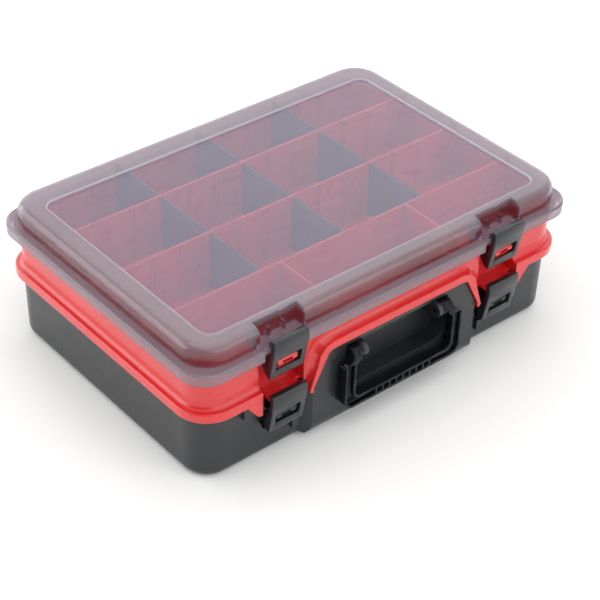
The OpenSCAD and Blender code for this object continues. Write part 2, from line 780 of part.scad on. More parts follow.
// Plan of the handle, grown by g, from the pivot down
module handle_outline(g) {
    o = handle_w / 2 + g;
    i = handle_w / 2 - arm_w - g;
    lo = -handle_len - g;
    hi = -handle_len + arm_w - 1 + g;
    ro = 9 + g;
    ri = 6 - g;
    difference() {
        union() {
            translate([-o + ro, lo]) square([2 * (o - ro), 20]);
            translate([-o, lo + ro]) square([2 * o, handle_len - 6.5 - ro]);
            for (s = [-1, 1]) translate([s * (o - ro), lo + ro]) circle(ro);
        }
        translate([-i + ri, hi]) square([2 * (i - ri), handle_len + 10]);
        translate([-i, hi + ri]) square([2 * i, handle_len + 10]);
        for (s = [-1, 1]) translate([s * (i - ri), hi + ri]) circle(ri);
    }
}

module carry_handle() {
    a = handle_w / 2;
    y0 = handle_y - handle_t;
    color("#1d1e20") translate([0, 0, handle_z]) difference() {
        union() {
            front_cut(y0, handle_y) handle_outline(0);
            // bent tops of the arms, sloping back to the hubs
            intersection() {
                front_cut(y0, handle_y) both_sides()
                    polygon([[a, -7], [bay_x - 0.7, 1.5], [bay_x - 2.6, hub_r - 0.2],
                        [hub_x + 4, hub_r - 0.2], [hub_x + 4, -2], [a - arm_w, -7]]);
                side_cut(-a, a) polygon([[y0, -8], [y0, 0], [handle_y - hub_r / 2, hub_r],
                    [handle_y, hub_r], [handle_y, -8]]);
            }
            both_sides() {
                x_rod(hub_x, bay_x - 0.8, handle_y, 0, hub_r);
                x_rod(hub_x - ear_t - 0.4, hub_x + 1, handle_y, 0, handle_pin_r);
            }
        }
        // channel in the front, divided by the small ribs
        front_cut(y0 - 1, y0 + channel_d) difference() {
            handle_outline(-channel_rim);
            for (k = [0 : grip_ribs - 1])
                translate([(k - (grip_ribs - 1) / 2) * grip_pitch - 0.8, -handle_len])
                    square([1.6, arm_w]);
        }
    }
}

// ---------------------------------------------------------------- dividers

// Plate across one row, from y0 to y1, with clipped upper corners
module divider_plate(x, y0, y1, z0, z1) {
    color("#7f8791") side_cut(x - divider_t / 2, x + divider_t / 2)
        polygon([[y0, z0], [y1, z0], [y1, z1 - 1.5], [y1 - 1.5, z1], [y0 + 1.5, z1],
            [y0, z1 - 1.5]]);
}

module tray_divider(x, y0, y1) {
    divider_plate(x, y0 + divider_gap, y1 - divider_gap, tray_floor, wall_top - 0.4);
}

module back_row(x) { tray_divider(x, wall_y1 + rib_t / 2, inner_d / 2); }
module centre_row(x) { tray_divider(x, wall_y2 + rib_t / 2, wall_y1 - rib_t / 2); }
module front_row_divider(x) { tray_divider(x, wall_y3 + rib_t / 2, wall_y2 - rib_t / 2); }

module divider_back_left() { back_row(-divider_step); }
module divider_back_middle() { back_row(0); }
module divider_back_right() { back_row(divider_step); }
module divider_centre_left() { centre_row(-divider_step); }
module divider_centre_middle() { centre_row(0); }
module divider_centre_right() { centre_row(divider_step); }
module divider_front_left() { front_row_divider(-divider_step); }
module divider_front_middle() { front_row_divider(0); }
module divider_front_right() { front_row_divider(divider_step); }

// Plate in the base, from the middle wall to the front or back wall
module base_divider(side, row) {
    x = side * 2 * slot_pitch;
    y0 = base_split_y + rib_t / 2 + divider_gap;
    y1 = row < 0 ? -bay_y - wall_t - 0.4 : base_d / 2 - base_taper - wall_t - 0.4;
    top = base_h - 3;
    color("#7f8791") side_cut(x - divider_t / 2, x + divider_t / 2) intersection() {
        polygon([[row * y0, wall_t], [row * y1, wall_t], [row * y1, top - 1.5],
            [row * (y1 - 1.5), top], [row * (y0 + 1.5), top], [row * y0, top - 1.5]]);
        union() {
            translate([-base_d / 2, 0]) square([base_d - 16, base_h]);
            translate([base_d / 2, 0]) base_section(wall_t + 0.4);
        }
    }
}

module base_divider_back_left() { base_divider(-1, 1); }
module base_divider_back_right() { base_divider(1, 1); }
module base_divider_front_left() { base_divider(-1, -1); }
module base_divider_front_right() { base_divider(1, -1); }

// ---------------------------------------------------------------- hinge pins

module hinge_pin(side, z) {
    color("#b9bcc0") translate([side * hinge_x, 0, 0])
        x_rod(-hinge_len / 2 + 0.5, hinge_len / 2 - 0.5, hinge_y, z, hinge_pin_r);
}

module tray_hinge_pin_left() { hinge_pin(-1, low_hinge_z); }
module tray_hinge_pin_right() { hinge_pin(1, low_hinge_z); }
module lid_hinge_pin_left() { hinge_pin(-1, high_hinge_z); }
module lid_hinge_pin_right() { hinge_pin(1, high_hinge_z); }

base_case();
tray();
lid();
lower_latch_left();
lower_latch_right();
upper_latch_left();
upper_latch_right();
carry_handle();
divider_back_left();
divider_back_middle();
divider_back_right();
divider_centre_left();
divider_centre_middle();
divider_centre_right();
divider_front_left();
divider_front_middle();
divider_front_right();
base_divider_back_left();
base_divider_back_right();
base_divider_front_left();
base_divider_front_right();
tray_hinge_pin_left();
tray_hinge_pin_right();
lid_hinge_pin_left();
lid_hinge_pin_right();
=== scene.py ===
"""Looks of the two-layer fishing tackle cabinet.

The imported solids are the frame: they keep their places and their meshes. This
script gives each of them its moulded finish, makes softened copies of the small
hard-edged mouldings, adds the hollow fillet round the arch, and sets up the
floor, the soft lamps and the camera.
Lengths are in metres, Z up, front towards -Y.
"""

import logging
import math
from dataclasses import dataclass
from enum import Enum

import bmesh
import bpy
from mathutils import Matrix, Vector


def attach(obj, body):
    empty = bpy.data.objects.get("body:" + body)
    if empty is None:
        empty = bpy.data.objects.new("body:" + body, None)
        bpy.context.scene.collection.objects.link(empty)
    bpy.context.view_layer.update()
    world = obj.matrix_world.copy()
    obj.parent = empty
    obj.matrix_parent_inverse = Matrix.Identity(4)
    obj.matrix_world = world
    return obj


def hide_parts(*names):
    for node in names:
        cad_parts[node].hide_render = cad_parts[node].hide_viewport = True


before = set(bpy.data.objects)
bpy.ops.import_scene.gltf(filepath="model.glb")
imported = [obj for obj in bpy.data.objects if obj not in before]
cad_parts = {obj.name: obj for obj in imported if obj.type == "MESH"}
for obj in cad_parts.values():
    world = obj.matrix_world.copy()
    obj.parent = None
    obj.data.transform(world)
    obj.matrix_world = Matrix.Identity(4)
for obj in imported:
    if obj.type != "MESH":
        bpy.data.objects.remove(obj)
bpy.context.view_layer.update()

LOG = logging.getLogger("tackle_cabinet")

Colour = tuple[float, float, float]
Point = tuple[float, float, float]
Span = tuple[float, float]
Socket = bpy.types.NodeSocket

MERGE_REACH = 0.000004
FLAT_ANGLE = math.radians(0.6)
EDGE_ANGLE = math.radians(28)
CREASE_ANGLE = math.radians(35)
ROUNDING_FACES = 2
ROUND_PROFILE = 0.5
ROUNDING_RAYS = 6
EDGE_COSINES = (0.86, 0.995)


class Side(Enum):
    """Left or right of the case, as the sign of X."""

    LEFT = -1
    RIGHT = 1


class Layer(Enum):
    """The two layers that a latch can hold down."""

    LOWER = "lower"
    UPPER = "upper"


# ------------------------------------------------------------------ finishes


class NodeSheet:
    """A node tree with short calls to add and join nodes."""

    def __init__(self, owner: bpy.types.Material | bpy.types.World, output: str,
                 coords: str) -> None:
        """Start an empty tree.

        Args:
            owner: Material or world that the tree belongs to.
            output: Blender's name for its output node.
            coords: Texture coordinates that its patterns read.
        """
        owner.use_nodes = True
        self.tree = owner.node_tree
        self.tree.nodes.clear()
        self.output = self.add(output)
        self.coords = self.add("ShaderNodeTexCoord").outputs[coords]

    def add(self, kind: str, **settings: object) -> bpy.types.Node:
        """Add a node.

        Args:
            kind: Blender's name for the node type.
            settings: Properties to set on it.

        Returns:
            The new node.
        """
        node = self.tree.nodes.new(kind)
        for key, value in settings.items():
            setattr(node, key, value)
        return node

    def join(self, source: Socket, target: Socket) -> None:
        """Link an output socket to an input socket."""
        self.tree.links.new(source, target)

    def noise(self, pitch: float, detail: float,
              stretch: Colour = (1.0, 1.0, 1.0)) -> Socket:
        """Add a noise pattern on the object's coordinates.

        Args:
            pitch: Size of one patch in metres.
            detail: Octaves of finer noise.
            stretch: Scale of the pattern along each axis.

        Returns:
            The pattern's value, from 0 to 1.
        """
        mapping = self.add("ShaderNodeMapping")
        mapping.inputs["Scale"].default_value = stretch
        self.join(self.coords, mapping.inputs["Vector"])
        noise = self.add("ShaderNodeTexNoise")
        noise.inputs["Scale"].default_value = 1.0 / pitch
        noise.inputs["Detail"].default_value = detail
        self.join(mapping.outputs["Vector"], noise.inputs["Vector"])
        return noise.outputs["Fac"]

    def remap(self, value: Socket, low: float, high: float,
              to_low: float, to_high: float) -> Socket:
        """Map a value from one range to another, held inside it.

        Args:
            value: Socket to read.
            low: Start of the range that is read.
            high: End of the range that is read.
            to_low: Result at low.
            to_high: Result at high.

        Returns:
            The mapped value.
        """
        node = self.add("ShaderNodeMapRange")
        for name, number in (("From Min", low), ("From Max", high),
                             ("To Min", to_low), ("To Max", to_high)):
            node.inputs[name].default_value = number
        self.join(value, node.inputs["Value"])
        return node.outputs["Result"]

    def blend(self, factor: Socket, first: Socket | Colour,
              second: Socket | Colour) -> Socket:
        """Mix two colours.

        Args:
            factor: Share of the second colour.
            first: Colour or socket at 0.
            second: Colour or socket at 1.

        Returns:
            The mixed colour.
        """
        node = self.add("ShaderNodeMix", data_type="RGBA")
        self.join(factor, node.inputs[0])
        for socket, value in ((node.inputs[6], first), (node.inputs[7], second)):
            if isinstance(value, tuple):
                socket.default_value = (*value, 1.0)
            else:
                self.join(value, socket)
        return node.outputs[2]

    def mixed(self, factor: Socket, first: Socket | float, second: Socket | float) -> Socket:
        """Mix two numbers.

        Args:
            factor: Share of the second number.
            first: Number or socket at 0.
            second: Number or socket at 1.

        Returns:
            The mixed number.
        """
        node = self.add("ShaderNodeMix", data_type="FLOAT")
        self.join(factor, node.inputs[0])
        for socket, value in ((node.inputs[2], first), (node.inputs[3], second)):
            if isinstance(value, float):
                socket.default_value = value
            else:
                self.join(value, socket)
        return node.outputs[0]

    def math(self, operation: str, first: Socket, second: Socket | float | None = None) -> Socket:
        """Join one or two values with a sum, a product or the like.

        Args:
            operation: Blender's name for it.
            first: First value.
            second: Second value, if it takes one.

        Returns:
            The result.
        """
        node = self.add("ShaderNodeMath", operation=operation)
        self.join(first, node.inputs[0])
        if isinstance(second, float):
            node.inputs[1].default_value = second
        elif second is not None:
            self.join(second, node.inputs[1])
        return node.outputs[0]

    def any_ray(self, *rays: str) -> Socket:
        """Mask that is 1 for any of the named kinds of ray.

        Args:
            rays: Outputs of the light path.

        Returns:
            The mask.
        """
        path = self.add("ShaderNodeLightPath")
        seen = path.outputs[rays[0]]
        for ray in rays[1:]:
            seen = self.math("MAXIMUM", seen, path.outputs[ray])
        return seen

    def rounded_normal(self, radius: float) -> Socket:
        """Normal that turns smoothly over each edge.

        Args:
            radius: Radius of the rounding in metres.

        Returns:
            The rounded normal.
        """
        node = self.add("ShaderNodeBevel", samples=ROUNDING_RAYS)
        node.inputs["Radius"].default_value = radius
        return node.outputs["Normal"]

    def edge_mask(self, rounded: Socket) -> Socket:
        """Mask that is 1 on edges and 0 on flat faces.

        Args:
            rounded: A rounded normal.

        Returns:
            The mask.
        """
        geometry = self.add("ShaderNodeNewGeometry")
        dot = self.add("ShaderNodeVectorMath", operation="DOT_PRODUCT")
        self.join(rounded, dot.inputs[0])
        self.join(geometry.outputs["Normal"], dot.inputs[1])
        return self.remap(dot.outputs["Value"], *EDGE_COSINES, 1.0, 0.0)


class MaterialSheet(NodeSheet):
    """The node tree of a new material."""

    def __init__(self, name: str) -> None:
        """Start an empty material.

        Args:
            name: Name of the new material.
        """
        self.material = bpy.data.materials.new(name)
        super().__init__(self.material, "ShaderNodeOutputMaterial", "Object")


@dataclass(frozen=True)
class Moulding:
    """An opaque moulded plastic with its texture, and edges that are partly rubbed and partly
    lightened as a painted highlight.
    """

    name: str
    colour: Colour
    cloud: Colour
    rubbed_and_highlight: Colour
    smooth: float
    rough: float
    grain_pitch: float
    grain_depth: float
    edge_radius: float = 0.0005
    edge_wear_and_highlight: float = 0.35
    gloss_coat: float = 0.0
    coat_rough: float = 0.18
    shine: float = 0.5
    refraction: float = 1.5
    cloud_pitch: float = 0.055
    cloud_reach: Span = (0.35, 0.7)
    wear_and_highlight_pitch: float = 0.012
    wear_and_highlight_reach: Span = (0.4, 0.75)
    handling_pitch: float = 0.03
    handling_stretch: Colour = (1.0, 1.0, 2.2)
    handling_reach: Span = (0.3, 0.75)
    grain_strength: float = 0.6

    def build(self) -> bpy.types.Material:
        """Make the material.

        Returns:
            The material with its node tree.
        """
        sheet = MaterialSheet(self.name)
        shader = sheet.add("ShaderNodeBsdfPrincipled")
        shader.inputs["IOR"].default_value = self.refraction
        shader.inputs["Specular IOR Level"].default_value = self.shine
        shader.inputs["Coat Weight"].default_value = self.gloss_coat
        shader.inputs["Coat Roughness"].default_value = self.coat_rough
        rounded = sheet.rounded_normal(self.edge_radius)
        clouds = sheet.noise(self.cloud_pitch, 3.0)
        base = sheet.blend(sheet.remap(clouds, *self.cloud_reach, 0.0, 1.0),
                           self.colour, self.cloud)
        # Edge colour: partly real rubbing, partly a painted highlight along the edges.
        wear_and_highlight = sheet.math("MULTIPLY", sheet.edge_mask(rounded),
                          sheet.remap(sheet.noise(self.wear_and_highlight_pitch, 4.0), *self.wear_and_highlight_reach,
                                      0.0, self.edge_wear_and_highlight))
        sheet.join(sheet.blend(wear_and_highlight, base, self.rubbed_and_highlight), shader.inputs["Base Color"])
        handling = sheet.noise(self.handling_pitch, 5.0, self.handling_stretch)
        sheet.join(sheet.remap(handling, *self.handling_reach, self.smooth, self.rough),
                   shader.inputs["Roughness"])
        bump = sheet.add("ShaderNodeBump")
        bump.inputs["Strength"].default_value = self.grain_strength
        bump.inputs["Distance"].default_value = self.grain_depth
        sheet.join(sheet.noise(self.grain_pitch, 2.0), bump.inputs["Height"])
        sheet.join(rounded, bump.inputs["Normal"])
        sheet.join(bump.outputs["Normal"], shader.inputs["Normal"])
        sheet.join(shader.outputs["BSDF"], sheet.output.inputs["Surface"])
        return sheet.material


@dataclass(frozen=True)
class ClearMoulding:
    """A clear tinted plastic: a polished window in a cloudier border, open to lamps, with a
    painted highlight line round the window.
    """

    name: str
    window_tint: Colour
    border_tint: Colour
    window_haze: Colour
    border_haze: Colour
    lamp_window: Colour
    lamp_border: Colour
    window_share: float
    skirt_share: float
    side_share: float
    top_share: float
    window_rough: float
    border_rough: float
    window_centre: Point
    window_half: Span
    skirt_z: Span
    shoulder_z: Span
    window_corner: float = 0.010
    window_blend: float = 0.0004
    highlight_line_width: float = 0.00024
    highlight_line_strength: float = 0.6
    highlight_line_colour: Colour = (0.95, 0.95, 0.97)
    edge_radius: float = 0.0007
    refraction: float = 1.49
    smoke_pitch: float = 0.09
    smoke_reach: Span = (0.3, 0.7)
    deeper_window: float = 0.95
    deeper_border: float = 0.92
    rub_pitch: float = 0.02
    rub_reach: Span = (0.3, 0.75)
    rub_rough: float = 0.04

    def window_distance(self, sheet: NodeSheet) -> Socket:
        """Add the distance outward from the window's rounded outline.

        Args:
            sheet: The material's nodes.

        Returns:
            Metres outside the outline, below zero over the window.
        """
        corner = self.window_corner
        inner = (*(half - corner for half in self.window_half), 0.0)
        vector = sheet.coords
        for operation, number in (("SUBTRACT", self.window_centre), ("ABSOLUTE", None),
                                  ("SUBTRACT", inner), ("MAXIMUM", (0.0, 0.0, 0.0)),
                                  ("MULTIPLY", (1.0, 1.0, 0.0))):
            step = sheet.add("ShaderNodeVectorMath", operation=operation)
            sheet.join(vector, step.inputs[0])
            if number is not None:
                step.inputs[1].default_value = number
            vector = step.outputs["Vector"]
        length = sheet.add("ShaderNodeVectorMath", operation="LENGTH")
        sheet.join(vector, length.inputs[0])
        return sheet.math("SUBTRACT", length.outputs["Value"], corner)

    def milky_share(self, sheet: NodeSheet, border: Socket, line: Socket) -> Socket:
        """Add the share of milky plastic at each place.

        Args:
            sheet: The material's nodes.
            border: Mask of the border.
            line: Mask of the painted highlight line round the window.

        Returns:
            The share.
        """
        height = sheet.add("ShaderNodeSeparateXYZ")
        sheet.join(sheet.coords, height.inputs["Vector"])
        level = height.outputs["Z"]
        top = sheet.remap(level, *self.shoulder_z, self.side_share, self.top_share)
        skirt = sheet.remap(level, *self.skirt_z, self.skirt_share, 0.0)
        cloudier = sheet.math("MAXIMUM", top, skirt)
        # Fully milky on the painted highlight line round the window.
        return sheet.mixed(line, sheet.mixed(border, self.window_share, cloudier), 1.0)

    def build(self) -> bpy.types.Material:
        """Make the material.

        Returns:
            The material with its node tree.
        """
        sheet = MaterialSheet(self.name)
        distance = self.window_distance(sheet)
        border = sheet.remap(distance, -self.window_blend, self.window_blend, 0.0, 1.0)
        # The line round the window is a painted highlight: near-white milky plastic where the
        # polished edge would catch the light.
        line = sheet.remap(sheet.math("ABSOLUTE", distance), self.highlight_line_width,
                           2.0 * self.highlight_line_width, self.highlight_line_strength, 0.0)
        share = self.milky_share(sheet, border, line)

        smoke = sheet.remap(sheet.noise(self.smoke_pitch, 2.0), *self.smoke_reach, 0.0, 1.0)
        clear = sheet.add("ShaderNodeBsdfPrincipled")
        clear.inputs["Transmission Weight"].default_value = 1.0
        deeper = tuple(self.deeper_window * c for c in self.window_tint)
        sheet.join(sheet.blend(border, sheet.blend(smoke, self.window_tint, deeper),
                               self.border_tint), clear.inputs["Base Color"])
        milky = sheet.add("ShaderNodeBsdfPrincipled")
        darker = tuple(self.deeper_border * c for c in self.border_haze)
        cloudy = sheet.blend(border, self.window_haze,
                             sheet.blend(smoke, self.border_haze, darker))
        # Near-white colour of the painted highlight line.
        sheet.join(sheet.blend(line, cloudy, self.highlight_line_colour), milky.inputs["Base Color"])
        polish = sheet.math(
            "ADD", sheet.remap(border, 0.0, 1.0, self.window_rough, self.border_rough),
            sheet.remap(sheet.noise(self.rub_pitch, 4.0), *self.rub_reach, 0.0, self.rub_rough))
        for shader in (clear, milky):
            shader.inputs["IOR"].default_value = self.refraction
            sheet.join(polish, shader.inputs["Roughness"])
        sheet.join(sheet.rounded_normal(self.edge_radius), milky.inputs["Normal"])
        body = sheet.add("ShaderNodeMixShader")
        sheet.join(share, body.inputs["Fac"])
        sheet.join(clear.outputs["BSDF"], body.inputs[1])
        sheet.join(milky.outputs["BSDF"], body.inputs[2])

        open_to_lamps = sheet.add("ShaderNodeBsdfTransparent")
        sheet.join(sheet.blend(border, self.lamp_window, self.lamp_border),
                   open_to_lamps.inputs["Color"])
        final = sheet.add("ShaderNodeMixShader")
        sheet.join(sheet.any_ray("Is Shadow Ray"), final.inputs["Fac"])
        sheet.join(body.outputs["Shader"], final.inputs[1])
        sheet.join(open_to_lamps.outputs["BSDF"], final.inputs[2])
        sheet.join(final.outputs["Shader"], sheet.output.inputs["Surface"])
        return sheet.material


@dataclass(frozen=True)
class DrawnWire:
    """Bright steel wire with fine lines along it."""

    name: str
    colour: Colour
    line_pitch: float = 0.0004
    line_stretch: Colour = (0.02, 1.0, 1.0)
    line_reach: Span = (0.3, 0.7)
    line_depth: float = 0.7
    roughness: Span = (0.22, 0.42)

    def build(self) -> bpy.types.Material:
        """Make the material.

        Returns:
            The material with its node tree.
        """
        sheet = MaterialSheet(self.name)
        shader = sheet.add("ShaderNodeBsdfPrincipled")
        shader.inputs["Metallic"].default_value = 1.0
        lines = sheet.noise(self.line_pitch, 2.0, self.line_stretch)
        dull = tuple(self.line_depth * c for c in self.colour)
        sheet.join(sheet.blend(lines, self.colour, dull), shader.inputs["Base Color"])
        sheet.join(sheet.remap(lines, *self.line_reach, *self.roughness),
                   shader.inputs["Roughness"])
        sheet.join(shader.outputs["BSDF"], sheet.output.inputs["Surface"])
        return sheet.material


CHARCOAL = Moulding(
    name="charcoal_moulding", colour=(0.012, 0.0145, 0.017), cloud=(0.015, 0.018, 0.021),
    rubbed_and_highlight=(0.07, 0.075, 0.08), smooth=0.34, rough=0.46, grain_pitch=0.0009,
    grain_depth=0.000012, edge_wear_and_highlight=0.3, gloss_coat=0.2)
RED = Moulding(
    name="red_moulding", colour=(0.70, 0.020, 0.022), cloud=(0.64, 0.017, 0.019),
    rubbed_and_highlight=(0.85, 0.20, 0.18), smooth=0.24, rough=0.36, grain_pitch=0.0006,
    grain_depth=0.000003, edge_radius=0.0008, edge_wear_and_highlight=0.25, gloss_coat=0.6)
# On the latches the pale edge colour and strong edge share are mostly a painted highlight along
# the edges.
LATCH_BLACK = Moulding(
    name="black_moulding", colour=(0.007, 0.009, 0.013), cloud=(0.010, 0.012, 0.017),
    rubbed_and_highlight=(0.16, 0.168, 0.18), smooth=0.26, rough=0.40, grain_pitch=0.0006,
    grain_depth=0.000006, edge_radius=0.0009, edge_wear_and_highlight=0.8, gloss_coat=0.3)
# On the handle the pale edge colour and strong edge share are mostly a painted highlight along
# the edges.
HANDLE_BLACK = Moulding(
    name="handle_moulding", colour=(0.003, 0.0038, 0.007), cloud=(0.0045, 0.0055, 0.009),
    rubbed_and_highlight=(0.20, 0.205, 0.22), smooth=0.26, rough=0.40, grain_pitch=0.0006,
    grain_depth=0.000006, edge_radius=0.0010, edge_wear_and_highlight=0.9, gloss_coat=0.05, shine=0.2)
SLATE = Moulding(
    name="slate_moulding", colour=(0.045, 0.060, 0.085), cloud=(0.052, 0.070, 0.098),
    rubbed_and_highlight=(0.16, 0.18, 0.21), smooth=0.35, rough=0.5, grain_pitch=0.0005,
    grain_depth=0.000002)
SMOKE = ClearMoulding(
    name="smoke_moulding", window_tint=(0.715, 0.61, 0.72), border_tint=(0.53, 0.38, 0.47),
    window_haze=(0.44, 0.45, 0.62), border_haze=(0.36, 0.36, 0.39),
    lamp_window=(0.83, 0.77, 0.83), lamp_border=(0.58, 0.47, 0.54), window_share=0.09,
    skirt_share=0.30, side_share=0.04, top_share=0.37, window_rough=0.02,
    border_rough=0.10, window_centre=(0.0, -0.0044, 0.0), window_half=(0.1659, 0.1062),
    skirt_z=(0.1072, 0.1085), shoulder_z=(0.116, 0.1235))
STEEL = DrawnWire(name="steel_wire", colour=(0.60, 0.61, 0.62))


class FinishRack:
    """Builds each finish once and puts it on objects."""

    def __init__(self) -> None:
        """Start with no material built."""
        self.built: dict[str, bpy.types.Material] = {}

    def put(self, finish: Moulding | ClearMoulding | DrawnWire, obj: bpy.types.Object) -> None:
        """Give an object's every slot one finish.

        Args:
            finish: The finish.
            obj: The object.
        """
        if finish.name not in self.built:
            self.built[finish.name] = finish.build()
        if not obj.material_slots:
            obj.data.materials.append(None)
        for slot in obj.material_slots:
            slot.link = "OBJECT"
            slot.material = self.built[finish.name]


RACK = FinishRack()


# ------------------------------------------------------------------ helpers


def show(name: str, mesh: bpy.types.Mesh, body: str, finish: Moulding,
         node: str | None = None) -> bpy.types.Object:
    """Put a mesh in the scene as a piece of the case.

    Args:
        name: Name of the piece.
        mesh: Its mesh.
        body: Body that it rides on.
        finish: Its finish.
        node: CAD node that it stands for, if any.

    Returns:
        The piece.
    """
    piece = bpy.data.objects.new(name, mesh)
    bpy.context.scene.collection.objects.link(piece)
    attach(piece, body)
    if node is not None:
        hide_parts(node)
    RACK.put(finish, piece)
    return piece


def softened_copy(node: str, body: str, finish: Moulding,
                  radius: float) -> bpy.types.Object:
    """Make a copy of a solid with its sharp edges rounded, and show it instead.

    Args:
        node: Name of the CAD node.
        body: Body that it rides on.
        finish: Its finish.
        radius: Size of the rounding in metres.

    Returns:
        The copy.
    """
    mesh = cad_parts[node].data.copy()
    sheet = bmesh.new()
    sheet.from_mesh(mesh)
    bmesh.ops.remove_doubles(sheet, verts=sheet.verts, dist=MERGE_REACH)
    bmesh.ops.dissolve_degenerate(sheet, edges=sheet.edges, dist=MERGE_REACH)
    bmesh.ops.dissolve_limit(sheet, angle_limit=FLAT_ANGLE, verts=sheet.verts,
                             edges=sheet.edges, use_dissolve_boundaries=False)
    sharp = [edge for edge in sheet.edges
             if len(edge.link_faces) == 2 and edge.calc_face_angle(0.0) > EDGE_ANGLE]
    bmesh.ops.bevel(sheet, geom=sharp, offset=radius, offset_type="OFFSET",
                    segments=ROUNDING_FACES, profile=ROUND_PROFILE, affect="EDGES",
                    clamp_overlap=True, material=-1)
    for face in sheet.faces:
        face.smooth = True
    sheet.to_mesh(mesh)
    sheet.free()
    mesh.set_sharp_from_angle(angle=CREASE_ANGLE)
    return show(node + "_softened", mesh, body, finish, node)


# ------------------------------------------------------------------ the case


@dataclass
class BaseShell:
    """The charcoal base case with its dividers."""

    def dress(self) -> None:
        """Put the finishes on the base and its dividers."""
        RACK.put(CHARCOAL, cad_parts["base_case"])
        for name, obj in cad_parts.items():
            if name.startswith("base_divider"):
                RACK.put(SLATE, obj)
        LOG.info("base case dressed")


@dataclass
class ArchHollow:
    """Hollow fillet that follows the outside of the arch band and runs down its legs."""

    outline: tuple[Span, ...] = ((0.0, 0.0870), (0.0660, 0.0870), (0.0745, 0.0849),
                                 (0.0795, 0.0794), (0.0814, 0.0719), (0.0885, 0.0506))
    wall_y: float = -0.12725
    band_y: float = -0.1338
    width: float = 0.0062
    pocket_x: float = 0.0900
    sunk: float = 0.0006
    root: float = 0.0003
    leg_slope: float = 0.3
    pitch: float = 0.0015
    turn_reach: int = 3
    steps: int = 10
    crease: float = math.radians(50)

    def path(self) -> list[Vector]:
        """Lay points along the band, from the left foot to the right one.

        Returns:
            Points in X and Z.
        """
        half = [Vector(point) for point in self.outline]
        corners = [Vector((-point.x, point.y)) for point in reversed(half[1:])] + half
        line = [corners[0]]
        for first, second in zip(corners, corners[1:]):
            pieces = math.ceil((second - first).length / self.pitch)
            line += [first.lerp(second, (i + 1) / pieces) for i in range(pieces)]
        return line

    def section(self, point: Vector, outward: Vector) -> list[Vector]:
        """Lay one cross section of the fillet.

        Args:
            point: Point on the outside of the band.
            outward: Direction away from the bay.

        Returns:
            Corners of the section, the hollow face first.
        """
        width = self.width
        if abs(outward.x) > self.leg_slope:
            width = min(width, (self.pocket_x - abs(point.x)) / abs(outward.x))
        inside_y = self.wall_y + self.root
        corners = []
        for i in range(self.steps + 1):
            angle = math.pi / 2 * i / self.steps
            corners.append((width * (1.0 - math.cos(angle)),
                            self.band_y + (self.wall_y - self.band_y) * math.sin(angle)))
        corners += [(width, inside_y), (-self.sunk, inside_y), (-self.sunk, self.band_y)]
        return [Vector((point.x + away * outward.x, y, point.y + away * outward.y))
                for away, y in corners]

    def build(self) -> None:
        """Sweep the fillet along the band."""
        line = self.path()
        last = len(line) - 1
        sheet = bmesh.new()
        rings = []
        for i, point in enumerate(line):
            ahead, behind = min(i + self.turn_reach, last), max(i - self.turn_reach, 0)
            along = (line[ahead] - line[behind]).normalized()
            outward = Vector((-along.y, along.x))
            rings.append([sheet.verts.new(corner) for corner in self.section(point, outward)])
        count = len(rings[0])
        for first, second in zip(rings, rings[1:]):
            for i in range(count):
                j = (i + 1) % count
                sheet.faces.new((first[i], first[j], second[j], second[i]))
        sheet.faces.new(list(reversed(rings[0])))
        sheet.faces.new(rings[-1])
        bmesh.ops.recalc_face_normals(sheet, faces=sheet.faces)
        for face in sheet.faces:
            face.smooth = True
        mesh = bpy.data.meshes.new("arch_hollow")
        sheet.to_mesh(mesh)
        sheet.free()
        mesh.set_sharp_from_angle(angle=self.crease)
        show("arch_hollow", mesh, "tray", RED)
        LOG.info("arch hollow built, %d faces", len(mesh.polygons))


@dataclass
class CompartmentTray:
    """The red compartment tray with its removable dividers."""

    leg_foot: Span = (0.0890, 0.0491)
    leg_lean: float = 0.3333
    leg_play: float = 0.0002
    pocket_x: float = 0.0901
    bead_z: Span = (0.0590, 0.0690)
    bead_y: float = -0.1316
    wall_y: float = -0.12722

    def in_bead_end(self, at: Vector) -> bool:
        """Tell whether a point is on the bead's end between a leg and its latch pocket.

        Args:
            at: Point on the tray.

        Returns:
            True where the wall is flat beside the leg.
        """
        foot_x, foot_z = self.leg_foot
        low, high = self.bead_z
        leg_x = foot_x - self.leg_lean * (at.z - foot_z) - self.leg_play
        return (leg_x < abs(at.x) < self.pocket_x and low < at.z < high
                and self.bead_y < at.y < self.wall_y)

    def build(self) -> None:
        """Show the tray with a flat wall beside its legs and a fillet round the arch."""
        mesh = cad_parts["tray"].data.copy()
        for vertex in mesh.vertices:
            if self.in_bead_end(vertex.co):
                vertex.co.y = self.wall_y
        show("tray_shell", mesh, "tray", RED, "tray")
        ArchHollow().build()
        for name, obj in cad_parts.items():
            if name.startswith("divider_"):
                RACK.put(SLATE, obj)
        LOG.info("tray built, %d faces", len(mesh.polygons))


@dataclass
class SmokeLid:
    """The clear smoke lid."""

    def dress(self) -> None:
        """Put the clear finish on the lid."""
        RACK.put(SMOKE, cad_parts["lid"])
        LOG.info("lid dressed")


@dataclass
class SnapLatch:
    """One snap latch."""

    layer: Layer
    side: Side
    edge_radius: float = 0.00035

    def build(self) -> None:
        """Show the latch with softened edges."""
        name = f"{self.layer.value}_latch_{self.side.name.lower()}"
        piece = softened_copy(name, name, LATCH_BLACK, self.edge_radius)
        LOG.info("%s built, %d faces", name, len(piece.data.polygons))


@dataclass
class CarryHandle:
    """The fold-out carry handle."""

    edge_radius: float = 0.0005

    def build(self) -> None:
        """Show the handle with softened edges."""
        piece = softened_copy("carry_handle", "handle", HANDLE_BLACK,
                              self.edge_radius)
        LOG.info("carry handle built, %d faces", len(piece.data.polygons))


@dataclass
class HingePins:
    """The four steel hinge pins."""

    def dress(self) -> None:
        """Put the wire finish on the pins."""
        for name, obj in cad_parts.items():
            if "hinge_pin" in name:
                RACK.put(STEEL, obj)
        LOG.info("hinge pins dressed")


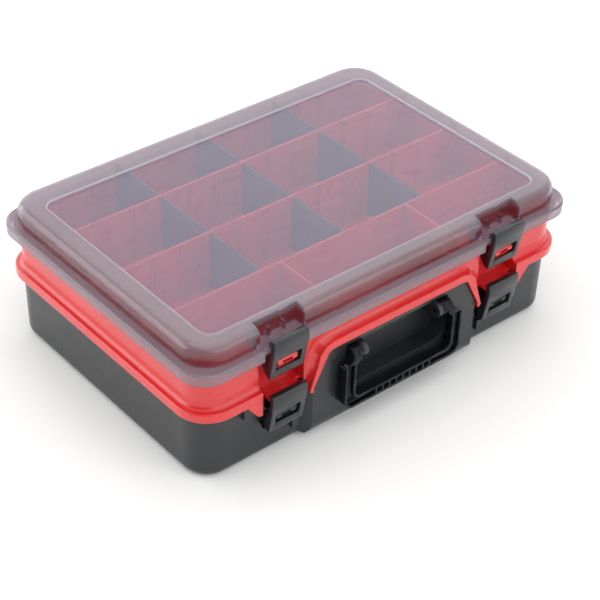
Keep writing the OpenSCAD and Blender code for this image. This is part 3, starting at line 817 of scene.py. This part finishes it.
# ------------------------------------------------------------------ the studio


@dataclass(frozen=True)
class Softbox:
    """A soft rectangular lamp that faces the case."""

    name: str
    at: Point
    width: float
    height: float
    power: float
    target: Point = (0.0, 0.0, 0.05)

    def hang(self) -> None:
        """Put the lamp in the scene."""
        data = bpy.data.lights.new(self.name, "AREA")
        data.shape = "RECTANGLE"
        data.size = self.width
        data.size_y = self.height
        data.energy = self.power
        lamp = bpy.data.objects.new(self.name, data)
        bpy.context.scene.collection.objects.link(lamp)
        turn = (Vector(self.target) - Vector(self.at)).to_track_quat("-Z", "Y")
        lamp.matrix_world = Matrix.Translation(self.at) @ turn.to_matrix().to_4x4()


@dataclass
class Studio:
    """Floor, lamps and camera."""

    floor_size: float = 12.0
    floor_albedo: float = 0.82
    floor_warmth: float = 0.992
    floor_glow: float = 0.06
    world_level: float = 0.8
    dim_room: float = 0.2
    dim_towards: Point = (-0.35, -0.70, 0.62)
    dim_reach: Span = (0.1, 0.7)
    image_size: float = 600.0
    focal_px: float = 1668.52
    film_width: float = 36.0
    far_clip: float = 50.0
    yaw: float = -0.7125938
    elevation: float = 0.6451366
    roll: float = 0.0307074
    camera_at: Point = (-0.71644, -0.84583, 0.84878)
    softboxes: tuple[Softbox, ...] = (
        Softbox("left_softbox", (-1.25, 1.35, 0.72), 2.8, 1.3, 25.0),
        Softbox("back_softbox", (1.0, 1.2, 1.2), 2.4, 1.8, 10.0),
        Softbox("front_softbox", (0.3, -1.8, 1.0), 2.4, 1.4, 17.5),
        Softbox("top_softbox", (0.0, -0.2, 2.0), 2.2, 2.2, 18.0))

    def build(self) -> None:
        """Set up everything round the object."""
        self.lay_floor()
        self.light_world()
        for softbox in self.softboxes:
            softbox.hang()
        self.place_camera()
        bpy.context.scene.view_settings.view_transform = "Standard"
        LOG.info("studio ready")

    def lay_floor(self) -> None:
        """Lay a plain pale floor that keeps the shadow."""
        mesh = bpy.data.meshes.new("floor")
        sheet = bmesh.new()
        bmesh.ops.create_grid(sheet, x_segments=1, y_segments=1, size=self.floor_size / 2)
        sheet.to_mesh(mesh)
        sheet.free()
        floor = bpy.data.objects.new("floor", mesh)
        bpy.context.scene.collection.objects.link(floor)
        nodes = MaterialSheet("floor_paper")
        paper = nodes.add("ShaderNodeBsdfDiffuse")
        grey = self.floor_albedo
        paper.inputs["Color"].default_value = (grey, grey, grey * self.floor_warmth, 1.0)
        glow = nodes.add("ShaderNodeEmission")
        seen = nodes.any_ray("Is Camera Ray", "Is Glossy Ray", "Is Transmission Ray")
        nodes.join(nodes.remap(seen, 0.0, 1.0, 0.0, self.floor_glow), glow.inputs["Strength"])
        both = nodes.add("ShaderNodeAddShader")
        nodes.join(paper.outputs["BSDF"], both.inputs[0])
        nodes.join(glow.outputs["Emission"], both.inputs[1])
        nodes.join(both.outputs["Shader"], nodes.output.inputs["Surface"])
        floor.data.materials.append(nodes.material)

    def light_world(self) -> None:
        """Give the room a soft light, white to the camera, dimmer high up in front."""
        world = bpy.data.worlds.new("room")
        bpy.context.scene.world = world
        nodes = NodeSheet(world, "ShaderNodeOutputWorld", "Generated")
        facing = nodes.add("ShaderNodeVectorMath", operation="DOT_PRODUCT")
        facing.inputs[1].default_value = self.dim_towards
        nodes.join(nodes.coords, facing.inputs[0])
        mirrored = nodes.remap(facing.outputs["Value"], *self.dim_reach, 1.0, self.dim_room)
        level = nodes.mixed(nodes.any_ray("Is Glossy Ray"), self.world_level, mirrored)
        white = nodes.any_ray("Is Camera Ray", "Is Transmission Ray")
        back = nodes.add("ShaderNodeBackground")
        nodes.join(nodes.mixed(white, level, 1.0), back.inputs["Strength"])
        nodes.join(back.outputs["Background"], nodes.output.inputs["Surface"])

    def place_camera(self) -> None:
        """Put the camera where the photograph was taken from."""
        data = bpy.data.cameras.new("camera")
        data.sensor_width = self.film_width
        data.lens = self.focal_px / self.image_size * self.film_width
        data.clip_end = self.far_clip
        camera = bpy.data.objects.new("camera", data)
        bpy.context.scene.collection.objects.link(camera)
        turn, lift = self.yaw, self.elevation
        back = Vector((math.sin(turn) * math.cos(lift), -math.cos(turn) * math.cos(lift),
                       math.sin(lift)))
        right = Vector((math.cos(turn), math.sin(turn), 0.0))
        up = back.cross(right)
        c, s = math.cos(self.roll), math.sin(self.roll)
        across = c * right + s * up
        upward = -s * right + c * up
        camera.matrix_world = Matrix((
            (across.x, upward.x, back.x, self.camera_at[0]),
            (across.y, upward.y, back.y, self.camera_at[1]),
            (across.z, upward.z, back.z, self.camera_at[2]),
            (0.0, 0.0, 0.0, 1.0)))
        bpy.context.scene.camera = camera


def main() -> None:
    """Dress the case, build its softened pieces and set up the studio."""
    logging.basicConfig(level=logging.INFO, format="%(name)s: %(message)s")
    BaseShell().dress()
    CompartmentTray().build()
    SmokeLid().dress()
    for layer in Layer:
        for side in Side:
            SnapLatch(layer, side).build()
    CarryHandle().build()
    HingePins().dress()
    Studio().build()


if __name__ == "__main__":
    main()
